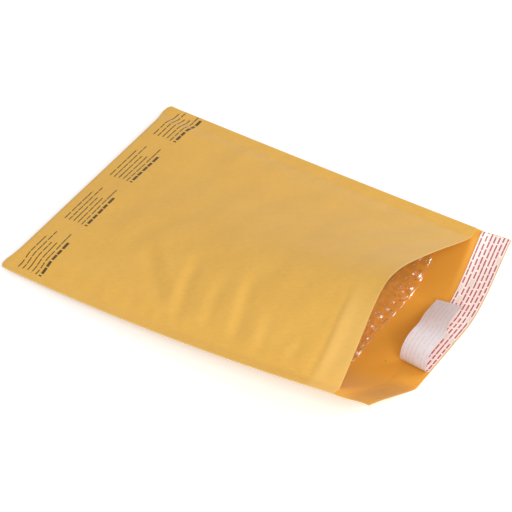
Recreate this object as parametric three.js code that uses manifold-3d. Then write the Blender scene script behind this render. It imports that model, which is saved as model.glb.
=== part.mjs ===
// A self-seal padded mailer, empty, lying on its back with its mouth gaping.
// Millimetres, +Z up. +X runs from the closed fold to the flap, +Y runs across the mailer.
import * as THREE from "three";
import { mergeVertices } from "three/addons/utils/BufferGeometryUtils.js";
import Module from "manifold-3d";

const wasm = await Module();
wasm.setup();

// Cut sizes of the paper, lying flat
const mailerWidth = 235; // over both side seals
const pocketLength = 315; // closed fold to mouth
const flapLength = 30; // mouth to the free edge of the flap
const sealWidth = 10; // glued margin along each side

// Layers of the wall
const paperThickness = 0.4;
const filmThickness = 1.6; // lining between its bubbles
const bubbleHeight = 2.2; // above the film
const bubbleDiameter = 9.6;
const bubbleFoot = 0.3; // depth that a bubble's rim is sunk into the film
const bubbleShoulder = 0.72; // share of its width and height at a bubble's shoulder
const bubblePitch = 10.8;
const bubbleRows = 4; // rows of domes behind the mouth, on each panel
const layerGap = 0.3; // clearance between layers that lie on each other

// Edges of the lining
const liningSideGap = 8; // seal line to lining
const liningSetback = 25; // mouth to lining

// How the mouth gapes
const seamLift = 41.5; // height of the side edges at the mouth
const seamInset = 11.5; // each side edge is drawn in this far at the mouth
const sealRise = 2.8; // the seal's cut edge stands this much higher than its inner line, at the mouth
const crestHeight = 86; // top of the front panel at the mouth
const crestOffset = -17; // the crest's place across the mailer
const crestSoftness = 0.25; // rounding of the crest, as a share of its flank
const floorNear = 33; // the back panel lies flat this far from the centre at the mouth, on the -Y side
const floorFar = 44; // and on the +Y side
const floorSoftness = 0.35; // rounding where the back panel leaves the floor, as a share of its flank
const flapBow = 0.23; // past the mouth the -Y flank turns up sharply and bows out, as a share of its rise
const pinchWidth = 15; // the pad thins to the seal over this width at the closed end
const earlyLift = 0.575; // share of the lift that grows evenly from the fold; the rest grows with the square

// Glue and release liner on the flap
const glueThickness = 0.3;
const glueInset = 2; // the liner overhangs the glue by this much all round
const linerThickness = 0.3;
const linerMouthGap = 6; // bare paper between the mouth and the liner
const linerEdgeInset = 0.5; // liner to the flap's free edge
const linerEndInset = 1; // liner to the flap's side edge

// The peeled end of the liner
const peelLine = -12; // the liner leaves the glue here, measured across the mailer
const loopBulge = 13.5; // pull of the loop past the peel line
const loopHeight = 24.5; // top of the loop above the glue
const loopTop = 6; // top of the loop, measured back from the peel line
const tailReach = 63; // free end, measured back from the peel line
const tailHeight = 7; // free end above the glue
const tailEase = 17; // length of the flat start of the tail
const tailLanding = 27; // length of the flat end of the tail
const tailDrift = 10; // the free end drifts this far towards the mouth
const tailTwist = 6; // the free end's outer corner stands this much higher than its inner one

// Fineness of the surfaces
const panelCells = 18; // across the lining
const pocketCells = 12; // fold to the end of the lining
const mouthCells = 2; // end of the lining to the mouth
const flapCells = 6;
const foldRows = 4;
const domeSides = 6;
const loopSteps = 10;
const tailSteps = 8;
const mergeDistance = 1e-4;

// Derived sizes
const halfWidth = mailerWidth / 2;
const sealAcross = 1 - sealWidth / halfWidth;
const liningAcross = sealAcross - liningSideGap / halfWidth;
const filmDepth = paperThickness + layerGap;
const foldRadius = filmDepth + filmThickness + bubbleHeight + layerGap / 2;
const pocketRun = pocketLength - foldRadius;
const lateLift = 1 - earlyLift;
const flapEnd = pocketLength + flapLength;
const liningEnd = pocketLength - liningSetback;
const glueDepth = paperThickness + layerGap;
const linerDepth = glueDepth + glueThickness + layerGap;

// Evenly spaced values from start to end
function spread(start, end, cells) {
  return Array.from({ length: cells + 1 }, (_, step) => THREE.MathUtils.lerp(start, end, step / cells));
}

// Places along the paper, and shares of the half width across it, where the surfaces have their points
const liningStations = spread(foldRadius, liningEnd, pocketCells);
const pocketStations = [...liningStations, ...spread(liningEnd, pocketLength, mouthCells).slice(1)];
const flapStations = spread(pocketLength, flapEnd, flapCells);
const stations = [...pocketStations, ...flapStations.slice(1)];
const panelColumns = spread(-liningAcross, liningAcross, panelCells);
const innerColumns = [-sealAcross, ...panelColumns, sealAcross];
const columns = [-1, ...innerColumns, 1];
const foldAngles = spread(Math.PI / 2, -Math.PI / 2, foldRows + 1).slice(1, -1);

// A straight ramp from 0 to 1 with a rounded start
function softRamp(share, softness) {
  const reach = Math.hypot(Math.max(share, 0), softness) - softness;
  return reach / (Math.hypot(1, softness) - softness);
}

// Share of the way from the fold to the mouth
function runAt(along) {
  return (along - foldRadius) / pocketRun;
}

// Share of the mouth's lift that a place along the pocket has. The flap keeps the lift of the mouth.
function liftAt(along) {
  const run = Math.min(runAt(along), 1);
  return earlyLift * run + lateLift * run * run;
}

// Paper keeps its length, so a panel that rises is drawn back towards the fold
function drawnBack(along, rise) {
  const run = runAt(along);
  const even = earlyLift ** 2 * run;
  const mixed = 2 * earlyLift * lateLift * run ** 2;
  const late = (4 / 3) * lateLift ** 2 * run ** 3;
  return (rise * rise * (even + mixed + late)) / (2 * pocketRun);
}

function halfWidthAt(along) {
  return halfWidth - seamInset * Math.min(runAt(along), 1) ** 2;
}

// Middle of the glued side seal, and inside the pocket the height of the seal's inner line
function sealHeight(along, across) {
  const lift = liftAt(along);
  const edge = THREE.MathUtils.lerp(foldRadius, seamLift, lift);
  const inward = Math.min((1 - Math.abs(across)) / (1 - sealAcross), 1);
  return edge - sealRise * lift * inward;
}

// Outer face of the front panel: a flat pad at the fold that turns into a tent at the mouth
function frontHeight(along, across) {
  const seal = sealHeight(along, across) + paperThickness;
  const y = across * halfWidthAt(along);
  const sealLine = sealAcross * halfWidthAt(along);
  const lift = liftAt(along);
  const pad = THREE.MathUtils.smoothstep(sealLine - Math.abs(y), 0, pinchWidth);
  const padRise = foldRadius - paperThickness;
  const flank = y < crestOffset ? sealLine + crestOffset : sealLine - crestOffset;
  const tent = Math.max(1 - softRamp(Math.abs(y - crestOffset) / flank, crestSoftness), 0);
  const tentRise = crestHeight - sealHeight(pocketLength, 0) - paperThickness;
  return seal + (1 - lift) * padRise * pad + lift * tentRise * tent;
}

// Outer face of the back panel and flap: flat on the floor, rising to the seals on both sides
function backHeight(along, across) {
  const seal = sealHeight(along, across) - paperThickness;
  const y = across * halfWidthAt(along);
  const sealLine = sealAcross * halfWidthAt(along);
  const floorAtFold = sealAcross * halfWidth - pinchWidth;
  const near = y < 0;
  const floorEdge = near
    ? THREE.MathUtils.lerp(floorAtFold, floorNear, Math.min(runAt(along), 1))
    : THREE.MathUtils.lerp(floorAtFold, floorFar, runAt(along));
  const share = Math.min((Math.abs(y) - floorEdge) / (sealLine - floorEdge), 1);
  const rounded = softRamp(share, floorSoftness);
  const straight = Math.max(share, 0);
  const bowed = straight + flapBow * straight * (1 - straight);
  const freed = near ? Math.max((along - pocketLength) / flapLength, 0) : 0;
  return seal * THREE.MathUtils.lerp(rounded, bowed, freed);
}

// A point of a panel, at a depth below its outer face
function panelPoint(heightOf, inward, along, across, depth) {
  const rise = heightOf(pocketLength, across) - heightOf(foldRadius, across);
  const x = along - drawnBack(along, rise);
  return new THREE.Vector3(x, across * halfWidthAt(along), heightOf(along, across) + inward * depth);
}

function frontPoint(along, across, depth) {
  return panelPoint(frontHeight, -1, along, across, depth);
}

function backPoint(along, across, depth) {
  return panelPoint(backHeight, 1, along, across, depth);
}

// A point of the closed fold. Where the seal presses the fold flat, its paper reaches further out.
function foldPoint(angle, across, depth) {
  const top = frontHeight(foldRadius, across);
  const bottom = backHeight(foldRadius, across);
  const radius = (top - bottom) / 2;
  const pressedOut = (Math.PI / 2) * (foldRadius - radius);
  const x = foldRadius - pressedOut - (radius - depth) * Math.cos(angle);
  return new THREE.Vector3(x, across * halfWidth, (top + bottom) / 2 + (radius - depth) * Math.sin(angle));
}

// Rows of points of a sheet that runs from the front panel round the fold to the back panel
function foldedSheet(frontEnd, backEnd, acrossList, depthAt) {
  const rowOf = (pointAt) => acrossList.map(pointAt);
  const front = stations.filter((along) => along <= frontEnd).reverse();
  const back = stations.filter((along) => along <= backEnd);
  return [
    ...front.map((along) => rowOf((across) => frontPoint(along, across, depthAt(along, across)))),
    ...foldAngles.map((angle) => rowOf((across) => foldPoint(angle, across, depthAt(foldRadius, across)))),
    ...back.map((along) => rowOf((across) => backPoint(along, across, depthAt(along, across)))),
  ];
}

// Collects the faces of one closed surface
class Skin {
  corners = [];

  triangle(a, b, c) {
    const shortest = Math.min(a.distanceTo(b), b.distanceTo(c), c.distanceTo(a));
    if (shortest > mergeDistance) this.corners.push(a, b, c);
  }

  // Faces between neighbouring rows, seen from the side where rows run down and columns run right
  grid(rows, flipped = false) {
    for (let r = 0; r + 1 < rows.length; r += 1) {
      for (let c = 0; c + 1 < rows[r].length; c += 1) {
        const rim = [rows[r][c], rows[r][c + 1], rows[r + 1][c + 1], rows[r + 1][c]];
        this.fan(rim[0], rim.slice(1), flipped);
      }
    }
  }

  fan(centre, rim, flipped = false) {
    for (let p = 0; p + 1 < rim.length; p += 1) {
      if (flipped) this.triangle(centre, rim[p + 1], rim[p]);
      else this.triangle(centre, rim[p], rim[p + 1]);
    }
  }

  // A closed sheet between an upper and a lower grid of points
  slab(upper, lower) {
    const column = (rows, index) => rows.map((row) => row.at(index));
    this.grid(upper);
    this.grid(lower, true);
    this.grid([upper[0], lower[0]], true);
    this.grid([upper.at(-1), lower.at(-1)]);
    this.grid([column(upper, 0), column(lower, 0)]);
    this.grid([column(upper, -1), column(lower, -1)], true);
  }

  geometry() {
    return mergeVertices(new THREE.BufferGeometry().setFromPoints(this.corners), mergeDistance);
  }
}

function namedMesh(name, geometry, material) {
  geometry.computeVertexNormals();
  const mesh = new THREE.Mesh(geometry, material);
  mesh.name = name;
  return mesh;
}

// One folded sheet of paper: front panel, closed fold, back panel and flap, glued along both sides
function kraftGeometry() {
  const skin = new Skin();
  const outer = foldedSheet(pocketLength, flapEnd, columns, () => 0);
  const inner = foldedSheet(pocketLength, pocketLength, innerColumns, () => paperThickness);
  const flapRow = (along) => columns.map((across) => backPoint(along, across, paperThickness));
  const flapInner = flapStations.map(flapRow);
  skin.grid(outer);
  skin.grid(inner, true);
  skin.grid(flapInner, true);
  skin.grid([outer[0], [flapInner[0][0], ...inner[0], flapInner[0].at(-1)]], true);
  skin.grid([outer.at(-1), flapInner.at(-1)]);
  for (const side of [-1, 1]) {
    const near = side < 0;
    const frontEdge = pocketStations.map((along) => frontPoint(along, side, 0));
    const middle = stations.map((along) => backPoint(along, side, paperThickness));
    const backEdge = stations.map((along) => backPoint(along, side, 0));
    const foldEdge = foldAngles.map((angle) => foldPoint(angle, side, 0));
    skin.grid([frontEdge, middle.slice(0, frontEdge.length)], near);
    skin.grid([middle, backEdge], near);
    skin.fan(middle[0], [frontEdge[0], ...foldEdge, backEdge[0]], !near);
  }
  return skin.geometry();
}

// The film thins where the two panels come together at the seals
function filmAt(along, across) {
  const room = (frontHeight(along, across) - backHeight(along, across)) / 2 - filmDepth - layerGap / 2;
  return Math.min(filmThickness, room);
}

function solidFrom(geometry) {
  const merged = mergeVertices(geometry, mergeDistance);
  const triangles = [];
  for (let t = 0; t < merged.index.count; t += 3) {
    const [a, b, c] = merged.index.array.subarray(t, t + 3);
    if (a !== b && b !== c && c !== a) triangles.push(a, b, c);
  }
  const mesh = new wasm.Mesh({
    numProp: 3,
    vertProperties: new Float32Array(merged.attributes.position.array),
    triVerts: new Uint32Array(triangles),
  });
  return new wasm.Manifold(mesh);
}

function geometryFrom(solid) {
  const mesh = solid.getMesh();
  const geometry = new THREE.BufferGeometry();
  geometry.setAttribute("position", new THREE.BufferAttribute(new Float32Array(mesh.vertProperties), 3));
  geometry.setIndex(new THREE.BufferAttribute(new Uint32Array(mesh.triVerts), 1));
  return geometry;
}

// One air bubble on the inner face of the film, standing along the film's normal
function bubbleDome(pointOf, inward, along, across) {
  const depth = filmDepth + filmThickness;
  const centre = pointOf(along, across, depth);
  const nextAlong = along + 1;
  const nextAcross = across + 1 / halfWidth;
  const alongTangent = pointOf(nextAlong, across, depth).sub(centre);
  const acrossTangent = pointOf(along, nextAcross, depth).sub(centre);
  const normal = alongTangent.cross(acrossTangent).normalize().multiplyScalar(inward);
  const radius = bubbleDiameter / 2;
  const profile = [
    new THREE.Vector2(0, -bubbleFoot),
    new THREE.Vector2(radius, -bubbleFoot),
    new THREE.Vector2(radius * bubbleShoulder, bubbleHeight * bubbleShoulder),
    new THREE.Vector2(0, bubbleHeight),
  ];
  const dome = new THREE.LatheGeometry(profile, domeSides);
  dome.deleteAttribute("normal");
  dome.deleteAttribute("uv");
  dome.applyQuaternion(new THREE.Quaternion().setFromUnitVectors(new THREE.Vector3(0, 1, 0), normal));
  dome.translate(centre.x, centre.y, centre.z);
  return solidFrom(dome);
}

// Rows of bubbles in a honeycomb, from the end of the film inwards
function panelBubbles(pointOf, inward) {
  const rowPitch = bubblePitch * Math.sin(Math.PI / 3);
  const domes = [];
  for (let row = 0; row < bubbleRows; row += 1) {
    const along = liningEnd - bubblePitch / 2 - row * rowPitch;
    const widest = liningAcross * halfWidthAt(along) - bubbleDiameter / 2;
    const shift = (row % 2) * (bubblePitch / 2);
    const reach = Math.floor((widest + shift) / bubblePitch);
    for (let step = -reach; step <= reach; step += 1) {
      const y = step * bubblePitch + shift;
      if (Math.abs(y) <= widest) domes.push(bubbleDome(pointOf, inward, along, y / halfWidthAt(along)));
    }
  }
  return domes;
}

// One sheet of bubble film, folded inside the paper
function liningGeometry() {
  const skin = new Skin();
  const outer = foldedSheet(liningEnd, liningEnd, panelColumns, () => filmDepth);
  const filmFace = (along, across) => filmDepth + filmAt(along, across);
  const inner = foldedSheet(liningEnd, liningEnd, panelColumns, filmFace);
  skin.slab(outer, inner);
  const domes = [...panelBubbles(frontPoint, -1), ...panelBubbles(backPoint, 1)];
  return geometryFrom(domes.reduce((lining, dome) => lining.add(dome), solidFrom(skin.geometry())));
}

// Band of glue across the flap
function glueGeometry() {
  const skin = new Skin();
  const glueAcross = 1 - (linerEndInset + glueInset) / halfWidth;
  const acrossList = [-glueAcross, ...innerColumns, glueAcross];
  const start = pocketLength + linerMouthGap + glueInset;
  const end = flapEnd - linerEdgeInset - glueInset;
  const rows = [start, ...flapStations.filter((along) => along > start && along < end), end];
  const face = (depth) => rows.map((along) => acrossList.map((across) => backPoint(along, across, depth)));
  skin.slab(face(glueDepth), face(glueDepth + glueThickness));
  return skin.geometry();
}

// Middle of the release liner: stuck down from the far end to the peel line, then looped back over itself.
// Each station is a pair of points, one on the flap's edge side and one on the mouth side.
function linerStations() {
  const outerEdge = flapEnd - linerEdgeInset;
  const mouthEdge = pocketLength + linerMouthGap;
  const depth = linerDepth + linerThickness / 2;
  const peelAcross = peelLine / halfWidthAt(outerEdge);
  const farEnd = 1 - linerEndInset / halfWidth;
  const stuckColumns = innerColumns.filter((across) => across > peelAcross).reverse();
  const stuck = [farEnd, ...stuckColumns].map((across) => [
    backPoint(outerEdge, across, depth),
    backPoint(mouthEdge, across, depth),
  ]);
  const glueFace = backHeight(outerEdge, peelAcross) + depth;
  const top = new THREE.Vector2(loopTop, loopHeight);
  const loop = new THREE.CubicBezierCurve(
    new THREE.Vector2(0, 0),
    new THREE.Vector2(-loopBulge, 0),
    new THREE.Vector2(-loopBulge, loopHeight),
    top,
  );
  const tail = new THREE.CubicBezierCurve(
    top,
    new THREE.Vector2(loopTop + tailEase, loopHeight),
    new THREE.Vector2(tailReach - tailLanding, tailHeight),
    new THREE.Vector2(tailReach, tailHeight),
  );
  const freePair = (point, eased) => {
    const drift = tailDrift * eased;
    const twist = (tailTwist / 2) * eased;
    const y = peelLine + point.x;
    const z = glueFace + point.y;
    return [
      new THREE.Vector3(outerEdge - drift, y, z + twist),
      new THREE.Vector3(mouthEdge - drift, y, z - twist),
    ];
  };
  const looped = loop.getPoints(loopSteps).map((point) => freePair(point, 0));
  const trailing = tail.getPoints(tailSteps).map((point, step) => {
    return freePair(point, THREE.MathUtils.smootherstep(step / tailSteps, 0, 1));
  });
  return [...stuck, ...looped, ...trailing.slice(1)];
}

function linerGeometry() {
  const skin = new Skin();
  const middle = linerStations();
  const shifted = (reach) => middle.map((pair, index) => {
    const before = middle[Math.max(index - 1, 0)];
    const after = middle[Math.min(index + 1, middle.length - 1)];
    return pair.map((point, edge) => {
      const tangent = after[edge].clone().sub(before[edge]).normalize();
      return new THREE.Vector3(0, tangent.z * reach, -tangent.y * reach).add(point);
    });
  });
  skin.slab(shifted(linerThickness / 2), shifted(-linerThickness / 2));
  return skin.geometry();
}

const kraftPaper = new THREE.MeshStandardMaterial({ color: 0xd9a85a, roughness: 0.8, metalness: 0 });
const bubbleFilm = new THREE.MeshStandardMaterial({ color: 0xd9c9a6, roughness: 0.25, metalness: 0 });
const hotMeltGlue = new THREE.MeshStandardMaterial({ color: 0xdba75c, roughness: 0.35, metalness: 0 });
const printedLiner = new THREE.MeshStandardMaterial({ color: 0xecd0c6, roughness: 0.5, metalness: 0 });

const mailer = new THREE.Group();
mailer.add(
  namedMesh("kraft_envelope", kraftGeometry(), kraftPaper),
  namedMesh("bubble_lining", liningGeometry(), bubbleFilm),
  namedMesh("adhesive_strip", glueGeometry(), hotMeltGlue),
  namedMesh("release_liner", linerGeometry(), printedLiner),
);

// The origin lies on the floor, under the middle of the mailer
const middleOfMailer = new THREE.Box3().setFromObject(mailer).getCenter(new THREE.Vector3());
mailer.position.set(-middleOfMailer.x, -middleOfMailer.y, 0);

export default mailer;
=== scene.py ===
import math

import bpy
import numpy as np
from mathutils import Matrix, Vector


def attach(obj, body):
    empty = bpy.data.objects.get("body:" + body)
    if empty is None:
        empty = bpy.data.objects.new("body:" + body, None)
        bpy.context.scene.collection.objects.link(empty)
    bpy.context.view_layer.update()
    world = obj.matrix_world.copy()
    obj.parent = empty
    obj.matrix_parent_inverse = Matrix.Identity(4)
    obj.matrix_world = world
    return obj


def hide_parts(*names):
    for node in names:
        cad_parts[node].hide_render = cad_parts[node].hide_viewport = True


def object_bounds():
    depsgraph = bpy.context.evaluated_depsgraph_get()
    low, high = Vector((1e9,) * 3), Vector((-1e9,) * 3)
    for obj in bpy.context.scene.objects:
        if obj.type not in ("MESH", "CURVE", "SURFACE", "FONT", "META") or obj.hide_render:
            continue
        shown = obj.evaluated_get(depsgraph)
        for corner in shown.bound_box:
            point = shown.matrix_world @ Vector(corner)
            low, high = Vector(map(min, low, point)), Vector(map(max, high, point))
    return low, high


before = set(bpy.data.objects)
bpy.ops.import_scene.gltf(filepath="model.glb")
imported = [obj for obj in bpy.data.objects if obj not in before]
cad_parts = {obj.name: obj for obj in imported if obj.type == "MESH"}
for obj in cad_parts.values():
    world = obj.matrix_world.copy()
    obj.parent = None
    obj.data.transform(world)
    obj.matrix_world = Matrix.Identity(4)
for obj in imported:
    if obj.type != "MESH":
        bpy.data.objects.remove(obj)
cadLow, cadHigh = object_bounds()
print("frame loaded:", ", ".join(sorted(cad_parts)))

scene = bpy.context.scene
mm = 0.001  # the sizes below are in millimetres, and Blender's are in metres

# The cut sheet, its layers, and how the mouth gapes. +X runs from the closed fold to the flap.
mailer = {
    "width": 235.0,
    "pocketLength": 315.0,
    "flapLength": 30.0,
    "sealWidth": 10.0,
    "paper": 0.4,
    "padDepth": 4.65,  # outer face of a panel to the middle of the pad, at the closed fold
    "seamLift": 41.5,  # side edges at the mouth
    "seamInset": 11.5,
    "sealRise": 2.8,
    "crestHeight": 86.0,
    "crestOffset": -17.0,
    "crestSoftness": 0.25,
    "floorNear": 33.0,  # the back panel lies flat this far from its middle, at the mouth
    "floorFar": 44.0,
    "floorSoftness": 0.35,
    "pinchWidth": 15.0,
    "earlyLift": 0.575,
    "flapSpread": 4.0,  # both corners of the flap swing to the far side
    "flapKick": 2.0,  # and its near corner stands higher
    "flapBow": 0.27,  # its near flank turns up sharply and bows out
    "flapTurn": 0.07,  # and that turn starts this softly
    "flapFree": 14.0,  # past the mouth the flap straightens over this length
    "cornerTrim": 2.5,  # the folded corners are blunt
    "cornerReach": 5.0,
    "cornerFade": 10.0,
    "filmSetback": 25.0,  # lip to the free edge of the film
}

halfWidth = mailer["width"] / 2
sealAcross = 1 - mailer["sealWidth"] / halfWidth
pocketLength = mailer["pocketLength"]
flapEnd = pocketLength + mailer["flapLength"]
foldRadius = mailer["padDepth"]
pocketRun = pocketLength - foldRadius
middleX = flapEnd - cadHigh.x / mm  # closed fold to the origin


def smoothStep(value, start, end):
    share = np.clip((value - start) / (end - start), 0, 1)
    return share * share * (3 - 2 * share)


def softRamp(share, softness):  # a straight ramp with a rounded start
    reach = np.hypot(np.maximum(share, 0), softness) - softness
    return reach / (math.hypot(1, softness) - softness)


def runAt(along):
    return (along - foldRadius) / pocketRun


def liftAt(along):  # the flap keeps the lift of the mouth
    run = np.minimum(runAt(along), 1)
    early = mailer["earlyLift"]
    return early * run + (1 - early) * run**2


def drawnBack(along, rise):  # paper keeps its length, so a rising panel is drawn towards the fold
    run = runAt(along)
    early = mailer["earlyLift"]
    late = 1 - early
    climb = early**2 * run + 2 * early * late * run**2 + 4 / 3 * late**2 * run**3
    return rise**2 * climb / (2 * pocketRun)


def halfWidthAt(along):
    return halfWidth - mailer["seamInset"] * np.minimum(runAt(along), 1) ** 2


def flapShare(along):
    return smoothStep(along, pocketLength, pocketLength + mailer["flapFree"])


def yAt(along, across):
    spread = smoothStep(along, pocketLength, flapEnd) * mailer["flapSpread"]
    return across * halfWidthAt(along) + spread * across**2


def sealHeight(along, across):
    lift = liftAt(along)
    edge = foldRadius + (mailer["seamLift"] - foldRadius) * lift
    inward = np.minimum((1 - np.abs(across)) / (1 - sealAcross), 1)
    return edge - mailer["sealRise"] * lift * inward


def frontHeight(along, across):
    y = across * halfWidthAt(along)
    sealLine = sealAcross * halfWidthAt(along)
    lift = liftAt(along)
    pad = smoothStep(sealLine - np.abs(y), 0, mailer["pinchWidth"]) * (foldRadius - mailer["paper"])
    crest = mailer["crestOffset"]
    flank = np.where(y < crest, sealLine + crest, sealLine - crest)
    tent = np.maximum(1 - softRamp(np.abs(y - crest) / flank, mailer["crestSoftness"]), 0)
    tentRise = mailer["crestHeight"] - sealHeight(pocketLength, 0.0) - mailer["paper"]
    return sealHeight(along, across) + mailer["paper"] + (1 - lift) * pad + lift * tentRise * tent


def backHeight(along, across):
    y = across * halfWidthAt(along)
    sealLine = (sealAcross + (1 - sealAcross) * flapShare(along)) * halfWidthAt(along)
    floorAtFold = sealAcross * halfWidth - mailer["pinchWidth"]
    floorAtMouth = np.where(y < 0, mailer["floorNear"], mailer["floorFar"])
    run = np.where(y < 0, np.minimum(runAt(along), 1), runAt(along))
    floorEdge = floorAtFold + (floorAtMouth - floorAtFold) * run
    share = np.minimum((np.abs(y) - floorEdge) / (sealLine - floorEdge), 1)
    straight = softRamp(share, mailer["flapTurn"])
    bowed = straight + mailer["flapBow"] * straight * (1 - straight)
    freed = np.where(y < 0, np.clip((along - pocketLength) / mailer["flapLength"], 0, 1), 0)
    flank = (1 - freed) * softRamp(share, mailer["floorSoftness"]) + freed * bowed
    inward = np.minimum((1 - np.abs(across)) / (1 - sealAcross), 1)
    flapDrop = mailer["sealRise"] * flapShare(along) * inward
    top = sealHeight(along, across) + flapDrop - mailer["paper"]
    kick = smoothStep(along, pocketLength, flapEnd) * np.maximum(-across, 0) ** 4
    return top * flank + mailer["flapKick"] * kick


# Soft creases pressed into the front panel, each from one (along, across) place to another
rumples = {
    "creases": [
        {"start": (96, -46), "end": (139, -88), "width": 7.0, "depth": 1.0},
        {"start": (160, -99), "end": (145, -44), "width": 6.0, "depth": 1.2},
        {"start": (187, -97), "end": (178, -58), "width": 5.5, "depth": 0.9},
        {"start": (215, -95), "end": (201, -45), "width": 6.0, "depth": 1.3},
        {"start": (240, -97), "end": (233, -66), "width": 5.5, "depth": 0.9},
        {"start": (262, -98), "end": (270, -80), "width": 4.5, "depth": 1.1},
    ],
    "fadeIn": (-0.15, 0.25),  # shares of a crease's length
    "fadeOut": (0.7, 1.25),
    "ridge": 0.6,  # each crease has a lower ridge beside it
    "ridgeOffset": 1.5,  # in widths of the crease
    "padGroove": 288.0,  # the paper folds in where the film behind it ends
    "padGrooveDepth": 1.2,
    "padGrooveWidth": 3.0,
    "padEnd": 294.0,  # past that it stands proud, then falls to the lip
    "padEndRise": 1.3,
    "padEndWidth": 7.0,
    "lipFlareFrom": 298.0,
    "lipFlare": 2.4,
    "nearFlank": (20.0, 60.0),  # the three above grow over this reach from the middle to the near side
    "puckerDepth": 0.35,  # gathers along the inner line of each seal
    "puckerPitch": 17.0,
    "puckerReach": 9.0,
    "puckerStart": 4.0,
    "puckerDrift": 1.7,
    "puckerDriftLength": 23.0,
    "foldClear": (8.0, 40.0),  # no unevenness close to the closed fold
    "swell": 0.35,  # slow unevenness of the padding
    "swellWaves": 14,
    "swellPitch": (28.0, 90.0),
    "seed": 7,
}


def slowWaves(along, y):
    draw = np.random.RandomState(rumples["seed"])
    height = np.zeros(np.broadcast(along, y).shape)
    for _ in range(rumples["swellWaves"]):
        heading = draw.uniform(0, 2 * math.pi)
        pitch = draw.uniform(*rumples["swellPitch"])
        phase = draw.uniform(0, 2 * math.pi)
        travel = along * math.cos(heading) + y * math.sin(heading)
        height += np.sin(2 * math.pi * travel / pitch + phase)
    return height / math.sqrt(rumples["swellWaves"])


def creaseDepth(crease, along, y):
    start, end = np.array(crease["start"], float), np.array(crease["end"], float)
    length = np.linalg.norm(end - start)
    run = (end - start) / length
    reach = ((along - start[0]) * run[0] + (y - start[1]) * run[1]) / length
    aside = (-(along - start[0]) * run[1] + (y - start[1]) * run[0]) / crease["width"]
    fade = smoothStep(reach, *rumples["fadeIn"]) * (1 - smoothStep(reach, *rumples["fadeOut"]))
    fold = np.exp(-(aside**2)) - rumples["ridge"] * np.exp(-((aside - rumples["ridgeOffset"]) ** 2))
    return crease["depth"] * fade * fold


def hump(value, centre, width):
    return np.exp(-(((value - centre) / width) ** 2))


def lipProfile(along):
    proud = rumples["padEndRise"] * hump(along, rumples["padEnd"], rumples["padEndWidth"])
    groove = rumples["padGrooveDepth"] * hump(along, rumples["padGroove"], rumples["padGrooveWidth"])
    flare = rumples["lipFlare"] * smoothStep(along, rumples["lipFlareFrom"], pocketLength)
    return flare + proud - groove


def frontRumple(along, across):
    y = across * halfWidthAt(along)
    fromSeal = sealAcross * halfWidthAt(along) - np.abs(y)
    inside = smoothStep(fromSeal, 0, mailer["pinchWidth"])
    clearOfFold = smoothStep(along, *rumples["foldClear"])
    height = rumples["swell"] * slowWaves(along, y) * inside * clearOfFold
    for crease in rumples["creases"]:
        height = height - creaseDepth(crease, along, y) * inside
    height = height + smoothStep(-y, *rumples["nearFlank"]) * inside * lipProfile(along)
    gather = np.exp(-np.maximum(fromSeal, 0) / rumples["puckerReach"])
    gather = gather * smoothStep(fromSeal, 0, rumples["puckerStart"])
    drift = rumples["puckerDrift"] * np.sin(along / rumples["puckerDriftLength"])
    wobble = np.sin(2 * math.pi * along / rumples["puckerPitch"] + drift)
    return height + rumples["puckerDepth"] * gather * wobble * clearOfFold


def trimmed(along, across):  # rounds the two folded corners
    corner = np.maximum(1 - (1 - np.abs(across)) * halfWidth / mailer["cornerReach"], 0) ** 2
    return mailer["cornerTrim"] * corner * np.exp(-(along - foldRadius) / mailer["cornerFade"])


def panelPoint(heightOf, inward, along, across, depth):
    rise = heightOf(pocketLength, across) - heightOf(foldRadius, across)
    x = along - drawnBack(along, rise) + trimmed(along, across)
    z = heightOf(along, across) + inward * depth
    return np.stack(np.broadcast_arrays(x, yAt(along, across), z), -1)


def frontPoint(along, across, depth=0.0):
    point = panelPoint(frontHeight, -1, along, across, depth)
    point[..., 2] += frontRumple(along, across)
    return point


def backPoint(along, across, depth=0.0):
    return panelPoint(backHeight, 1, along, across, depth)


def foldPoint(angle, across, depth):  # the seal presses the fold flat, so its paper reaches further out
    top, bottom = frontHeight(foldRadius, across), backHeight(foldRadius, across)
    radius = (top - bottom) / 2
    x = foldRadius - math.pi / 2 * (foldRadius - radius) - (radius - depth) * np.cos(angle)
    x = x + trimmed(foldRadius, across)
    z = (top + bottom) / 2 + (radius - depth) * np.sin(angle)
    return np.stack(np.broadcast_arrays(x, across * halfWidth, z), -1)


def foldedSheet(frontEnd, backEnd, across, depthAt, grid):  # one face's points and their flat path
    cell = grid["cell"]
    frontRows = np.linspace(frontEnd, foldRadius, round((frontEnd - foldRadius) / cell) + 1)
    backRows = np.linspace(foldRadius, backEnd, round((backEnd - foldRadius) / cell) + 1)
    angles = np.linspace(math.pi / 2, -math.pi / 2, grid["foldSteps"] + 1)[1:-1]
    points = np.concatenate([
        frontPoint(frontRows[:, None], across, depthAt(frontRows[:, None], across)),
        foldPoint(angles[:, None], across, depthAt(foldRadius, across)),
        backPoint(backRows[:, None], across, depthAt(backRows[:, None], across)),
    ])
    foldStart = frontEnd - foldRadius
    path = np.concatenate([
        frontEnd - frontRows,
        foldStart + (math.pi / 2 - angles) * foldRadius,
        foldStart + math.pi * foldRadius + backRows - foldRadius,
    ])
    return points, path


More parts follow.
